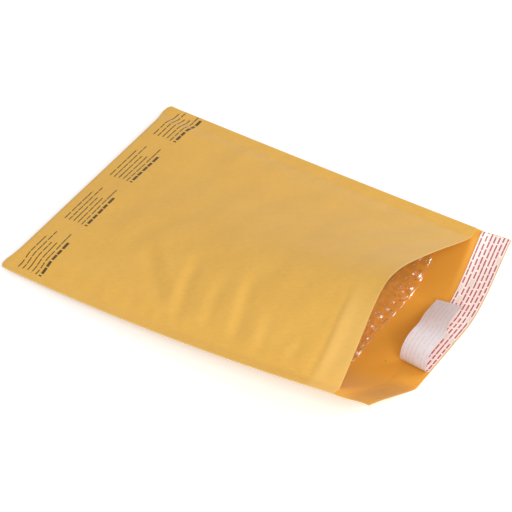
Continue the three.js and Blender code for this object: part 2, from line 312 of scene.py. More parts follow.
def closedSheet(name, upper, lower, u, v, flatScale):
    # One closed sheet between two grids of points, with its flat pattern as the UV map
    rows, columns = upper.shape[:2]
    count = rows * columns
    index = np.arange(count).reshape(rows, columns)
    under = index + count

    def quads(a, b, c, d):
        return np.stack([a.ravel(), b.ravel(), c.ravel(), d.ravel()], -1)

    top = quads(index[:-1, :-1], index[:-1, 1:], index[1:, 1:], index[1:, :-1])
    bottom = quads(under[:-1, :-1], under[1:, :-1], under[1:, 1:], under[:-1, 1:])
    rim = np.concatenate([
        quads(index[0, 1:], index[0, :-1], under[0, :-1], under[0, 1:]),
        quads(index[-1, :-1], index[-1, 1:], under[-1, 1:], under[-1, :-1]),
        quads(index[:-1, 0], index[1:, 0], under[1:, 0], under[:-1, 0]),
        quads(index[1:, -1], index[:-1, -1], under[:-1, -1], under[1:, -1]),
    ])
    faces = np.concatenate([top, bottom, rim])
    points = np.concatenate([upper.reshape(-1, 3), lower.reshape(-1, 3)]) - [middleX, 0, 0]
    mesh = bpy.data.meshes.new(name)
    mesh.from_pydata((points * mm).tolist(), [], faces.tolist())
    flat = np.stack(np.broadcast_arrays(u[None, :], v[:, None]), -1).reshape(-1, 2) / flatScale
    flat = np.concatenate([flat, flat])
    loopVertices = np.zeros(len(mesh.loops), np.int32)
    mesh.loops.foreach_get("vertex_index", loopVertices)
    pattern = mesh.uv_layers.new(name="flatSheet")
    pattern.data.foreach_set("uv", flat[loopVertices].ravel().astype(np.float32))
    inner = mesh.attributes.new("innerFace", "FLOAT", "FACE")
    side = np.concatenate([np.zeros(len(top)), np.ones(len(bottom)), np.full(len(rim), 0.5)])
    inner.data.foreach_set("value", side.astype(np.float32))
    mesh.shade_smooth()
    mesh.attributes.new("sharp_edge", "BOOLEAN", "EDGE")
    mesh.validate()
    made = bpy.data.objects.new(name, mesh)
    scene.collection.objects.link(made)
    return made


def sharpenRims(made):  # the cut edges stay crisp under smooth shading
    mesh = made.data
    side = np.zeros(len(mesh.polygons), np.float32)
    mesh.attributes["innerFace"].data.foreach_get("value", side)
    edges = {}
    for face in mesh.polygons:
        for key in face.edge_keys:
            edges.setdefault(key, []).append(side[face.index])
    for edge in mesh.edges:
        sides = edges[edge.key]
        edge.use_edge_sharp = len(set(float(s) for s in sides)) > 1


# Node helpers
def addNode(tree, kind, values=None, **settings):
    made = tree.nodes.new(kind)
    for name, value in settings.items():
        setattr(made, name, value)
    for socket, value in (values or {}).items():
        if isinstance(value, bpy.types.NodeSocket):
            tree.links.new(value, made.inputs[socket])
        else:
            made.inputs[socket].default_value = value
    return made


def put(tree, kind, values=None, **settings):
    return addNode(tree, "ShaderNode" + kind, values, **settings)


def math2(tree, operation, a, b=0.0):
    return put(tree, "Math", {0: a, 1: b}, operation=operation).outputs[0]


def blendColour(tree, factor, a, b):
    return put(tree, "Mix", {0: factor, 6: a, 7: b}, data_type="RGBA").outputs[2]


def ramp(tree, value, start, end, low=0.0, high=1.0):
    values = {"Value": value, "From Min": start, "From Max": end, "To Min": low, "To Max": high}
    return put(tree, "MapRange", values, interpolation_type="SMOOTHSTEP").outputs[0]


def colour(red, green, blue):  # from screen values
    def linear(value):
        share = value / 255
        return share / 12.92 if share <= 0.04045 else ((share + 0.055) / 1.055) ** 2.4

    return (linear(red), linear(green), linear(blue), 1.0)


def newGroup(name, inputs, outputs):
    group = bpy.data.node_groups.new(name, "ShaderNodeTree")
    for label, kind, value in inputs:
        socket = group.interface.new_socket(label, in_out="INPUT", socket_type=kind)
        if value is not None:
            socket.default_value = value
    for label, kind in outputs:
        group.interface.new_socket(label, in_out="OUTPUT", socket_type=kind)
    return group, group.nodes.new("NodeGroupInput"), group.nodes.new("NodeGroupOutput")


# Fibres, clouds of tone and flecks, which every paper here has
paperLook = {
    "fibreScale": 0.6,
    "fibreDetail": 4.0,
    "fibreRoughness": 0.6,
    "cloudDetail": 5.0,
    "cloudRoughness": 0.62,
    "fleckScale": 0.34,
    "fleckSize": (0.1, 0.02),
    "fleckChance": 0.72,
}


def paperGrainGroup():  # in millimetres of the flat sheet
    group, given, result = newGroup(
        "paperGrain",
        [("Flat", "NodeSocketVector", None), ("Fibre Length", "NodeSocketFloat", 3.0),
         ("Fibre Width", "NodeSocketFloat", 0.35), ("Cloud Size", "NodeSocketFloat", 22.0)],
        [("Fibres", "NodeSocketFloat"), ("Clouds", "NodeSocketFloat"), ("Flecks", "NodeSocketFloat")],
    )
    flat = given.outputs["Flat"]
    stretch = put(group, "CombineXYZ", {
        "X": math2(group, "DIVIDE", 1.0, given.outputs["Fibre Width"]),
        "Y": math2(group, "DIVIDE", 1.0, given.outputs["Fibre Length"]),
        "Z": 1.0,
    })
    drawn = put(group, "VectorMath", {0: flat, 1: stretch.outputs[0]}, operation="MULTIPLY")
    fibres = put(group, "TexNoise", {
        "Vector": drawn.outputs[0],
        "Scale": paperLook["fibreScale"],
        "Detail": paperLook["fibreDetail"],
        "Roughness": paperLook["fibreRoughness"],
    })
    clouds = put(group, "TexNoise", {
        "Vector": flat,
        "Scale": math2(group, "DIVIDE", 1.0, given.outputs["Cloud Size"]),
        "Detail": paperLook["cloudDetail"],
        "Roughness": paperLook["cloudRoughness"],
    })
    flecks = put(group, "TexVoronoi", {"Vector": flat, "Scale": paperLook["fleckScale"], "Randomness": 1.0})
    fleck = ramp(group, flecks.outputs["Distance"], *paperLook["fleckSize"])
    chance = put(group, "SeparateColor", {"Color": flecks.outputs["Color"]}).outputs[0]
    fleck = math2(group, "MULTIPLY", fleck, math2(group, "GREATER_THAN", chance, paperLook["fleckChance"]))
    group.links.new(fibres.outputs[0], result.inputs["Fibres"])
    group.links.new(clouds.outputs[0], result.inputs["Clouds"])
    group.links.new(fleck, result.inputs["Flecks"])
    return group


# Printed rules broken into dashes, on the envelope and on the liner
dashLook = {
    "ruleSoft": 0.12,
    "lengthSpread": 0.28,  # share of the pitch that the dashes differ by
    "endSoft": 0.012,
}


def dashRowsGroup():  # in millimetres of the flat sheet
    group, given, result = newGroup(
        "dashRows",
        [("Along", "NodeSocketFloat", 0.0), ("Across", "NodeSocketFloat", 0.0),
         ("Row Pitch", "NodeSocketFloat", 4.6), ("Rule Width", "NodeSocketFloat", 1.6),
         ("Dash Pitch", "NodeSocketFloat", 12.0), ("Fill", "NodeSocketFloat", 0.7)],
        [("Print", "NodeSocketFloat"), ("Row", "NodeSocketFloat"), ("Patch", "NodeSocketFloat")],
    )
    rows = math2(group, "DIVIDE", given.outputs["Across"], given.outputs["Row Pitch"])
    row = math2(group, "FLOOR", rows)
    offCentre = math2(group, "ABSOLUTE", math2(group, "SUBTRACT", math2(group, "FRACT", rows), 0.5))
    offCentre = math2(group, "MULTIPLY", offCentre, given.outputs["Row Pitch"])
    halfRule = math2(group, "MULTIPLY", given.outputs["Rule Width"], 0.5)
    pastRule = math2(group, "SUBTRACT", offCentre, halfRule)
    rule = ramp(group, pastRule, dashLook["ruleSoft"], -dashLook["ruleSoft"])
    stagger = put(group, "TexWhiteNoise", {"W": row}, noise_dimensions="1D").outputs["Value"]
    cells = math2(group, "DIVIDE", given.outputs["Along"], given.outputs["Dash Pitch"])
    cells = math2(group, "ADD", cells, stagger)
    pair = put(group, "CombineXYZ", {"X": math2(group, "FLOOR", cells), "Y": row})
    draw = put(group, "TexWhiteNoise", {"Vector": pair.outputs[0]}, noise_dimensions="2D")
    spread = math2(group, "MULTIPLY", draw.outputs["Value"], dashLook["lengthSpread"])
    shortest = math2(group, "SUBTRACT", given.outputs["Fill"], dashLook["lengthSpread"] / 2)
    length = math2(group, "ADD", shortest, spread)
    pastEnd = math2(group, "SUBTRACT", math2(group, "FRACT", cells), length)
    dash = ramp(group, pastEnd, dashLook["endSoft"], -dashLook["endSoft"])
    patch = put(group, "SeparateColor", {"Color": draw.outputs["Color"]}).outputs[1]
    group.links.new(math2(group, "MULTIPLY", rule, dash), result.inputs["Print"])
    group.links.new(row, result.inputs["Row"])
    group.links.new(patch, result.inputs["Patch"])
    return group


paperGrain = paperGrainGroup()
dashRows = dashRowsGroup()


def newMaterial(name):
    made = bpy.data.materials.new(name)
    made.use_nodes = True
    tree = made.node_tree
    return made, tree, tree.nodes["Principled BSDF"]


def flatCoordinates(tree, flatScale):  # the sheet's own pattern, in millimetres
    place = put(tree, "UVMap", uv_map="flatSheet")
    scaled = put(tree, "VectorMath", {0: place.outputs[0], "Scale": flatScale}, operation="SCALE")
    apart = put(tree, "SeparateXYZ", {0: scaled.outputs[0]})
    return scaled.outputs[0], apart.outputs[0], apart.outputs[1]


def grain(tree, flat, look):
    values = {"Flat": flat, "Fibre Length": look["fibreLength"], "Fibre Width": look["fibreWidth"],
              "Cloud Size": look["cloudSize"]}
    return put(tree, "Group", values, node_tree=paperGrain).outputs


def printedRules(tree, along, across, ruleWidth, look):
    values = {"Along": along, "Across": across, "Row Pitch": look["rowPitch"], "Rule Width": ruleWidth,
              "Dash Pitch": look["dashPitch"], "Fill": look["dashFill"]}
    return put(tree, "Group", values, node_tree=dashRows).outputs


def faceMasks(tree):  # inner and outer face of a sheet, neither of which holds its cut edge
    inner = put(tree, "Attribute", attribute_name="innerFace").outputs["Fac"]
    return ramp(tree, inner, 0.5, 0.6), ramp(tree, inner, 0.4, 0.3)


def lightPasses(tree, alpha):  # a clear layer casts no shadow on the paper beneath
    lit = math2(tree, "SUBTRACT", 1.0, put(tree, "LightPath").outputs["Is Shadow Ray"])
    return math2(tree, "MULTIPLY", alpha, lit)


# Kraft paper
kraft = {
    "outside": (227, 176, 80),
    "outsideDeep": (218, 167, 73),
    "toneRange": (0.35, 0.65),
    "cloudShare": 0.35,  # clouds against fibres in the tone
    # inner face: partly the paper's own deeper orange, partly painted bounce light between the facing sheets
    "inside": (228, 160, 54),
    "linedWithBounce": (242, 157, 60),  # film deepens the paper that it lies on, and its brighter, redder tone is painted bounce light in the shaded pocket
    "linedWithBounceSoft": (-5.0, 8.0),
    "bare": (244, 198, 118),  # painted light near the lip, where no film backs the paper: paler, standing in for light shining through the paper and sheen on the near flank
    "bareShare": 0.32,
    "bareReach": 24.0,
    "bareSoft": 3.0,
    "bareAcross": 75.0,
    "bareFade": 20.0,
    # painted highlight: a paler band along the cut edges, where they catch the light
    "edge": (236, 200, 132),
    "edgeHighlightReach": (0.9, 0.1),  # painted highlight along every cut edge: distances from the edge
    "edgeHighlightShare": 0.55,
    "fleck": (150, 104, 46),
    "fleckShare": 0.07,
    "fibreLength": 4.0,
    "fibreWidth": 0.45,
    "cloudSize": 26.0,
    "fibreRange": (0.3, 0.7),
    "roughness": (0.56, 0.7),
    "specular": 0.35,
    "sheen": 0.11,
    "sheenRoughness": 0.5,
    "grainDepth": 0.05,
    "grainStrength": 0.5,
    "speckAt": (91.0, 630.3, 0.0),  # a dark fibre on the inside of the flap, on the flat sheet
    "speckSize": (0.55, 0.275),
    "ink": (44, 30, 12),
    "inkStrength": 0.92,
    "printStart": 12.0,  # the rules stand this far from the closed fold
    "printSoft": 0.1,
    "printRows": 6,
    "rowPitch": 4.4,
    "ruleWidth": 1.0,
    "barWidth": 2.6,  # the row furthest from the fold is a bold bar
    "barSoft": 0.01,
    "dashPitch": 7.0,
    "dashFill": 0.86,
    "blockPitch": 62.0,  # blocks of rules repeat across the sheet
    "blockStart": 6.8,
    "blockGap": 17.0,
}
sheetLength = pocketLength + flapEnd + (math.pi - 2) * foldRadius


def kraftOutside(tree, across, along, paper):
    clouds = math2(tree, "MULTIPLY", paper["Clouds"], kraft["cloudShare"])
    fibres = math2(tree, "MULTIPLY", paper["Fibres"], 1 - kraft["cloudShare"])
    tone = ramp(tree, math2(tree, "ADD", clouds, fibres), *kraft["toneRange"])
    outside = blendColour(tree, tone, colour(*kraft["outsideDeep"]), colour(*kraft["outside"]))
    # painted light: the near flank by the lip is paled as if lit through the single layer of paper
    reach, soft = kraft["bareReach"], kraft["bareSoft"]
    nearLip = ramp(tree, along, reach + soft, reach - soft)
    side, fade = kraft["bareAcross"], kraft["bareFade"]
    nearSide = ramp(tree, across, side + fade, side - fade, 0.0, kraft["bareShare"])
    return blendColour(tree, math2(tree, "MULTIPLY", nearLip, nearSide), outside, colour(*kraft["bare"]))


# inner face colour, with painted bounce light where the film lies
def kraftInsideWithBounce(tree, along):
    filmStart = mailer["filmSetback"]
    filmEnd = sheetLength - mailer["flapLength"] - mailer["filmSetback"]
    fromStart = math2(tree, "SUBTRACT", along, filmStart)
    covered = math2(tree, "MINIMUM", fromStart, math2(tree, "SUBTRACT", filmEnd, along))
    # painted bounce light: the paper under the film is brighter and redder
    linedWithBounce = ramp(tree, covered, *kraft["linedWithBounceSoft"])
    return blendColour(tree, linedWithBounce, colour(*kraft["inside"]), colour(*kraft["linedWithBounce"]))


def kraftPrint(tree, across, along):  # blocks of plain rules beside the closed fold
    foldAt = pocketLength - foldRadius + math.pi / 2 * foldRadius
    fromFold = math2(tree, "SUBTRACT", foldAt, along)
    block = math2(tree, "DIVIDE", across, kraft["blockPitch"])
    inBlock = math2(tree, "MULTIPLY", math2(tree, "FRACT", block), kraft["blockPitch"])
    start, soft = kraft["printStart"], kraft["printSoft"]
    end = start + kraft["printRows"] * kraft["rowPitch"]
    barFrom = end - kraft["rowPitch"]
    widths = kraft["ruleWidth"], kraft["barWidth"]
    ruleWidth = ramp(tree, fromFold, barFrom - kraft["barSoft"], barFrom, *widths)
    rules = printedRules(tree, inBlock, math2(tree, "SUBTRACT", fromFold, start), ruleWidth, kraft)
    begun = ramp(tree, fromFold, start - soft, start)
    band = math2(tree, "MULTIPLY", begun, ramp(tree, fromFold, end, end - soft))
    ragged = put(tree, "TexWhiteNoise", {"W": rules["Row"]}, noise_dimensions="1D").outputs["Value"]
    shortened = math2(tree, "MULTIPLY", ragged, kraft["blockGap"])
    endAt = math2(tree, "SUBTRACT", kraft["blockPitch"] - kraft["blockStart"], shortened)
    opened = ramp(tree, inBlock, kraft["blockStart"], kraft["blockStart"] + 2 * soft)
    span = math2(tree, "MULTIPLY", opened, math2(tree, "LESS_THAN", inBlock, endAt))
    return math2(tree, "MULTIPLY", math2(tree, "MULTIPLY", rules["Print"], band), span)


def kraftMaterial():
    made, tree, shader = newMaterial("kraft paper")
    flat, across, along = flatCoordinates(tree, sheetLength)
    paper = grain(tree, flat, kraft)
    onInside, onOutside = faceMasks(tree)
    outside = kraftOutside(tree, across, along, paper)
    shade = blendColour(tree, onInside, outside, kraftInsideWithBounce(tree, along))
    ink = math2(tree, "MULTIPLY", kraftPrint(tree, across, along), onOutside)
    ink = math2(tree, "MULTIPLY", ink, kraft["inkStrength"])
    shade = blendColour(tree, ink, shade, colour(*kraft["ink"]))

    fromSides = math2(tree, "MINIMUM", across, math2(tree, "SUBTRACT", mailer["width"], across))
    fromEnds = math2(tree, "MINIMUM", along, math2(tree, "SUBTRACT", sheetLength, along))
    fromEdge = math2(tree, "MINIMUM", fromSides, fromEnds)
    # painted highlight along every cut edge
    edgeHighlight = ramp(tree, fromEdge, *kraft["edgeHighlightReach"], 0.0, kraft["edgeHighlightShare"])
    shade = blendColour(tree, edgeHighlight, shade, colour(*kraft["edge"]))
    flecks = math2(tree, "MULTIPLY", paper["Flecks"], kraft["fleckShare"])
    shade = blendColour(tree, flecks, shade, colour(*kraft["fleck"]))
    fromSpeck = put(tree, "VectorMath", {0: flat, 1: kraft["speckAt"]}, operation="DISTANCE").outputs["Value"]
    speck = math2(tree, "MULTIPLY", ramp(tree, fromSpeck, *kraft["speckSize"]), onInside)
    shade = blendColour(tree, speck, shade, colour(*kraft["ink"]))
    tree.links.new(shade, shader.inputs["Base Color"])
    rough = ramp(tree, paper["Fibres"], *kraft["fibreRange"], *kraft["roughness"])
    tree.links.new(rough, shader.inputs["Roughness"])
    bump = put(tree, "Bump", {
        "Strength": kraft["grainStrength"],
        "Distance": kraft["grainDepth"] * mm,
        "Height": paper["Fibres"],
    })
    tree.links.new(bump.outputs[0], shader.inputs["Normal"])
    shader.inputs["Specular IOR Level"].default_value = kraft["specular"]
    shader.inputs["Sheen Weight"].default_value = kraft["sheen"]
    shader.inputs["Sheen Roughness"].default_value = kraft["sheenRoughness"]
    return made


paperSheet = {"cell": 2.1, "columns": 96, "foldSteps": 14, "sealGap": 0.02}


def makePaper():
    across = np.linspace(-1, 1, paperSheet["columns"] + 1)
    sealed = np.abs(across) > sealAcross - 1e-9
    inner = np.where(sealed, mailer["paper"] - paperSheet["sealGap"], mailer["paper"])
    faces = []
    for depth in (np.zeros_like(inner), inner):
        def depthAt(along, aside, flat=depth):
            return 0 * along + flat

        points, path = foldedSheet(pocketLength, flapEnd, across, depthAt, paperSheet)
        faces.append(points)
    made = closedSheet("kraft_sheet", *faces, (across + 1) * halfWidth, path, sheetLength)
    sharpenRims(made)
    made.data.materials.append(kraftMaterial())
    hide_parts("kraft_envelope")
    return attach(made, "root")


kraftSheet = makePaper()
print("kraft sheet made:", len(kraftSheet.data.polygons), "faces")

# Bubble film lining
lining = {
    "sideGap": 8.0,
    "depth": 0.55,  # outer face of the paper to the film
    "film": 0.12,
    "cell": 3.2,
    "columns": 88,
    "foldSteps": 10,
    "bubbleDiameter": 9.8,
    "bubbleHeight": 3.2,
    "leastHeight": 0.3,
    "bubblePitch": 10.8,
    "bubbleSides": 12,
    "bubbleRings": 4,
    "clearance": 0.15,  # to the middle of the pocket, where two bubbles face each other
    "crown": 0.72,  # below 1 the bubbles have steeper sides and flatter tops
    "fullness": (0.78, 1.0),
    "tilt": 0.04,
    "dent": 0.45,
    "dentScale": 190.0,
    "seed": 3,
    "edgeCurl": 0.8,  # the free edge of the film stands off the paper in waves
    "edgeWave": 13.0,
    "edgeDrift": 2.0,
    "edgeDriftTurns": 7.0,
    "edgeReach": 9.0,
    "tint": (250, 180, 92),
    "alpha": (0.035, 0.08),  # seen face on, and along the surface
    "facingBlend": 0.35,
    "facingRange": (0.1, 0.95),
    "endAlpha": 0.6,  # crumpled patches near the free edge catch the light
    "endReach": 15.0,
    "endFull": 2.0,
    "crumpleScale": 120.0,
    "crumpleRange": (0.52, 0.62),
    "roughness": (0.08, 0.18),
    "hazeScale": 380.0,
    "hazeRange": (0.3, 0.7),
    "crinkle": 0.6,
    "crinkleStrength": 0.8,
    "gloss": 3.4,  # index of refraction, high because the film's glints fade with its alpha
    "coatRoughness": 0.05,
}
liningAcross = sealAcross - lining["sideGap"] / halfWidth
liningEnd = pocketLength - mailer["filmSetback"]


def filmAlpha(tree, place):
    facing = put(tree, "LayerWeight", {"Blend": lining["facingBlend"]}).outputs["Facing"]
    alpha = ramp(tree, facing, *lining["facingRange"], *lining["alpha"])
    endAt = liningEnd - middleX
    alongX = put(tree, "SeparateXYZ", {0: place}).outputs[0]
    reach = (endAt - lining["endReach"]) * mm, (endAt - lining["endFull"]) * mm
    nearEnd = ramp(tree, alongX, *reach)
    crumple = put(tree, "TexNoise", {"Vector": place, "Scale": lining["crumpleScale"], "Detail": 1.0})
    patches = ramp(tree, crumple.outputs[0], *lining["crumpleRange"], 0.0, lining["endAlpha"])
    return math2(tree, "ADD", alpha, math2(tree, "MULTIPLY", nearEnd, patches))


def filmMaterial():
    made, tree, shader = newMaterial("clear bubble film")
    shader.inputs["Base Color"].default_value = colour(*lining["tint"])
    place = put(tree, "TexCoord").outputs["Object"]
    haze = put(tree, "TexNoise", {"Vector": place, "Scale": lining["hazeScale"], "Detail": 2.0}).outputs[0]
    tree.links.new(lightPasses(tree, filmAlpha(tree, place)), shader.inputs["Alpha"])
    rough = ramp(tree, haze, *lining["hazeRange"], *lining["roughness"])
    tree.links.new(rough, shader.inputs["Roughness"])
    shader.inputs["IOR"].default_value = lining["gloss"]
    shader.inputs["Coat Weight"].default_value = 1.0
    shader.inputs["Coat IOR"].default_value = lining["gloss"]
    shader.inputs["Coat Roughness"].default_value = lining["coatRoughness"]
    bump = put(tree, "Bump", {
        "Strength": lining["crinkleStrength"],
        "Distance": lining["crinkle"] * mm,
        "Height": haze,
    })
    tree.links.new(bump.outputs[0], shader.inputs["Normal"])
    return made


def seatShift(pointAt, along, across, depth, centre, normal):  # keeps a flat foot clear of bent paper
    radius = lining["bubbleDiameter"] / 2
    shift = np.zeros(len(across))
    for angle in np.linspace(0, 2 * math.pi, lining["bubbleSides"], endpoint=False):
        aside = across + radius * math.sin(angle) / halfWidthAt(along)
        rim = pointAt(along + radius * math.cos(angle), aside, depth)
        shift = np.maximum(shift, np.sum((rim - centre) * normal, axis=-1))
    return shift


def bubbleRow(pointAt, inward, along, stagger):
    pitch = lining["bubblePitch"]
    count = int(halfWidth / pitch) + 1
    y = np.arange(-count, count + 1) * pitch + stagger
    widest = liningAcross * halfWidthAt(along) - lining["bubbleDiameter"] / 2
    across = y[np.abs(y) <= widest] / halfWidthAt(along)
    depth = lining["depth"] + lining["film"]
    centre = pointAt(along, across, depth)
    alongStep = pointAt(along + 1, across, depth) - centre  # one millimetre each way gives the slope
    acrossStep = pointAt(along, across + 1 / halfWidth, depth) - centre
    normal = np.cross(alongStep, acrossStep) * inward
    normal /= np.linalg.norm(normal, axis=-1, keepdims=True)
    shift = seatShift(pointAt, along, across, depth, centre, normal)
    halfGap = (frontHeight(along, across) - backHeight(along, across)) / 2
    room = halfGap - depth - shift - lining["clearance"]
    height = np.clip(room, lining["leastHeight"], lining["bubbleHeight"])
    return centre + normal * shift[:, None], normal, height


def bubbleSeats():  # one point for each bubble, with the way it faces and the room it has
    pitch = lining["bubblePitch"]
    rowPitch = pitch * math.sin(math.pi / 3)
    lastRow = liningEnd - pitch / 2
    rows = int((lastRow - foldRadius) / rowPitch) + 1
    made = []
    for pointAt, inward in ((frontPoint, -1), (backPoint, 1)):
        for row in range(rows):
            made.append(bubbleRow(pointAt, inward, lastRow - row * rowPitch, (row % 2) * pitch / 2))
    return [np.concatenate(parts) for parts in zip(*made)]


def bubbleTree(film, material):
    tree = bpy.data.node_groups.new("bubbles on film", "GeometryNodeTree")
    tree.interface.new_socket("Geometry", in_out="INPUT", socket_type="NodeSocketGeometry")
    sizes = {
        "Diameter": "NodeSocketFloat",
        "Crown": "NodeSocketFloat",
        "Tilt": "NodeSocketFloat",
        "Dent": "NodeSocketFloat",
        "Sides": "NodeSocketInt",
        "Rings": "NodeSocketInt",
        "Seed": "NodeSocketInt",
    }
    for label, kind in sizes.items():
        tree.interface.new_socket(label, in_out="INPUT", socket_type=kind)
    tree.interface.new_socket("Geometry", in_out="OUTPUT", socket_type="NodeSocketGeometry")
    links = tree.links
    given, result = tree.nodes.new("NodeGroupInput"), tree.nodes.new("NodeGroupOutput")

    def add(kind, values=None, **settings):
        return addNode(tree, kind, values, **settings)

    def sums(operation, a, b=0.0):
        return add("ShaderNodeMath", {0: a, 1: b}, operation=operation).outputs[0]

    # A unit cone whose side is bent into a dome
    cone = add("GeometryNodeMeshCone", {
        "Vertices": given.outputs["Sides"], "Side Segments": given.outputs["Rings"],
        "Radius Top": 0.0, "Radius Bottom": 1.0, "Depth": 1.0,
    })
    place = add("ShaderNodeSeparateXYZ", {0: add("GeometryNodeInputPosition").outputs[0]})
    climb = sums("MULTIPLY", place.outputs["Z"], math.pi / 2)
    reach = sums("POWER", sums("MAXIMUM", sums("COSINE", climb), 0.0), given.outputs["Crown"])
    spread = sums("DIVIDE", reach, sums("MAXIMUM", sums("SUBTRACT", 1.0, place.outputs["Z"]), 0.001))
    spread = sums("MULTIPLY", spread, sums("MULTIPLY", given.outputs["Diameter"], 0.5))
    bent = add("ShaderNodeCombineXYZ", {
        "X": sums("MULTIPLY", place.outputs["X"], spread),
        "Y": sums("MULTIPLY", place.outputs["Y"], spread),
        "Z": sums("SINE", climb),
    })
    dome = add("GeometryNodeSetPosition", {"Geometry": cone.outputs["Mesh"], "Position": bent.outputs[0]})
    dome = add("GeometryNodeSetShadeSmooth", {0: dome.outputs[0], "Shade Smooth": True})

    # The domes stand on their seats, each leaning a little
    facing = add("GeometryNodeInputNamedAttribute", {"Name": "facing"}, data_type="FLOAT_VECTOR").outputs[0]
    height = add("GeometryNodeInputNamedAttribute", {"Name": "height"}, data_type="FLOAT").outputs[0]
    seed = given.outputs["Seed"]
    lean = add("FunctionNodeRandomValue", {"Min": (-1, -1, -1), "Max": (1, 1, 1), "Seed": seed},
               data_type="FLOAT_VECTOR").outputs[0]
    lean = add("ShaderNodeVectorMath", {0: lean, "Scale": given.outputs["Tilt"]}, operation="SCALE")
    aim = add("ShaderNodeVectorMath", {0: facing, 1: lean.outputs[0]}, operation="ADD").outputs[0]
    turn = add("FunctionNodeAlignRotationToVector", {"Vector": aim}, axis="Z")
    least, most = lining["fullness"]
    fullness = add("FunctionNodeRandomValue", {2: least, 3: most, "Seed": sums("ADD", seed, 1.0)},
                   data_type="FLOAT").outputs[1]
    size = add("ShaderNodeCombineXYZ", {"X": 1.0, "Y": 1.0, "Z": sums("MULTIPLY", height, fullness)})
    points = add("GeometryNodeMeshToPoints", {"Mesh": given.outputs["Geometry"]})
    domes = add("GeometryNodeInstanceOnPoints", {
        "Points": points.outputs[0], "Instance": dome.outputs[0],
        "Rotation": turn.outputs[0], "Scale": size.outputs[0],
    })
    real = add("GeometryNodeRealizeInstances", {0: domes.outputs[0]})
    noise = add("ShaderNodeTexNoise", {"Scale": lining["dentScale"], "Detail": 1.0})
    push = sums("MULTIPLY", noise.outputs[0], given.outputs["Dent"])
    push = add("ShaderNodeVectorMath", {0: facing, "Scale": push}, operation="SCALE").outputs[0]
    dented = add("GeometryNodeSetPosition", {"Geometry": real.outputs[0], "Offset": push})
    sheet = add("GeometryNodeObjectInfo", {"Object": film})
    both = add("GeometryNodeJoinGeometry")
    links.new(dented.outputs[0], both.inputs[0])
    links.new(sheet.outputs["Geometry"], both.inputs[0])
    whole = add("GeometryNodeRealizeInstances", {0: both.outputs[0]})
    dressed = add("GeometryNodeSetMaterial", {"Geometry": whole.outputs[0], "Material": material})
    links.new(dressed.outputs[0], result.inputs[0])
    return tree


def edgeCurl(along, across):
    drift = lining["edgeDrift"] * np.sin(across * lining["edgeDriftTurns"])
    wave = 1 + np.sin(2 * math.pi * across * halfWidth / lining["edgeWave"] + drift)
    return lining["edgeCurl"] * wave * smoothStep(along, liningEnd - lining["edgeReach"], liningEnd)


def filmSheet():
    across = np.linspace(-liningAcross, liningAcross, lining["columns"] + 1)
    faces = []
    for depth in (lining["depth"], lining["depth"] + lining["film"]):
        def depthAt(along, aside, flat=depth):
            return flat + edgeCurl(along, aside)

        points, path = foldedSheet(liningEnd, liningEnd, across, depthAt, lining)
        faces.append(points)
    return closedSheet("film", *faces, (across + 1) * halfWidth, path, sheetLength)


def seatCarrier():
    places, facings, heights = bubbleSeats()
    seats = bpy.data.meshes.new("bubble seats")
    seats.from_pydata(((places - [middleX, 0, 0]) * mm).tolist(), [], [])
    facing = seats.attributes.new("facing", "FLOAT_VECTOR", "POINT")
    facing.data.foreach_set("vector", facings.ravel().astype(np.float32))
    height = seats.attributes.new("height", "FLOAT", "POINT")
    height.data.foreach_set("value", (heights * mm).astype(np.float32))
    carrier = bpy.data.objects.new("bubble seats", seats)
    scene.collection.objects.link(carrier)
    return carrier


def makeLining():
    film = filmSheet()
    carrier = seatCarrier()
    count = len(carrier.data.vertices)
    modifier = carrier.modifiers.new("bubbles", "NODES")
    tree = bubbleTree(film, filmMaterial())
    modifier.node_group = tree
    sizes = {
        "Diameter": lining["bubbleDiameter"] * mm,
        "Crown": lining["crown"],
        "Tilt": lining["tilt"],
        "Dent": lining["dent"] * mm,
        "Sides": lining["bubbleSides"],
        "Rings": lining["bubbleRings"],
        "Seed": lining["seed"],
    }
    for socket in tree.interface.items_tree:
        if socket.in_out == "INPUT" and socket.name in sizes:
            modifier[socket.identifier] = sizes[socket.name]
    bpy.context.view_layer.update()
    solved = carrier.evaluated_get(bpy.context.evaluated_depsgraph_get())
    made = bpy.data.objects.new("bubble_film", bpy.data.meshes.new_from_object(solved))
    scene.collection.objects.link(made)
    bpy.data.objects.remove(carrier)
    bpy.data.objects.remove(film)
    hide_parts("bubble_lining")
    print("bubble film made:", count, "bubbles,", len(made.data.polygons), "faces")
    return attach(made, "root")


makeLining()

# Hot-melt glue on the flap
glue = {
    "thickness": 0.25,
    "lift": 0.05,
    "mouthGap": 8.0,
    "edgeInset": 2.5,
    "endInset": 3.0,
    "cell": 3.0,
    "tint": (226, 156, 64),
    "thick": (230, 168, 84),
    "thickRange": (0.35, 0.65),
    "smear": (0.03, 0.11, 1.0),  # smears are drawn out across the flap
    "smearRange": (0.3, 0.7),
    "alpha": (0.02, 0.05),
    "roughness": (0.45, 0.57),
}


def glueMaterial():
    made, tree, shader = newMaterial("hot melt glue")
    flat = flatCoordinates(tree, sheetLength)[0]
    smear = put(tree, "VectorMath", {0: flat, 1: glue["smear"]}, operation="MULTIPLY").outputs[0]
    smears = put(tree, "TexNoise", {"Vector": smear, "Scale": 1.0, "Detail": 2.0}).outputs[0]
    thick = ramp(tree, smears, *glue["thickRange"])
    shade = blendColour(tree, thick, colour(*glue["tint"]), colour(*glue["thick"]))
    tree.links.new(shade, shader.inputs["Base Color"])
    alpha = ramp(tree, smears, *glue["smearRange"], *glue["alpha"])
    tree.links.new(lightPasses(tree, alpha), shader.inputs["Alpha"])
    rough = ramp(tree, smears, *glue["smearRange"], *glue["roughness"])
    tree.links.new(rough, shader.inputs["Roughness"])
    return made


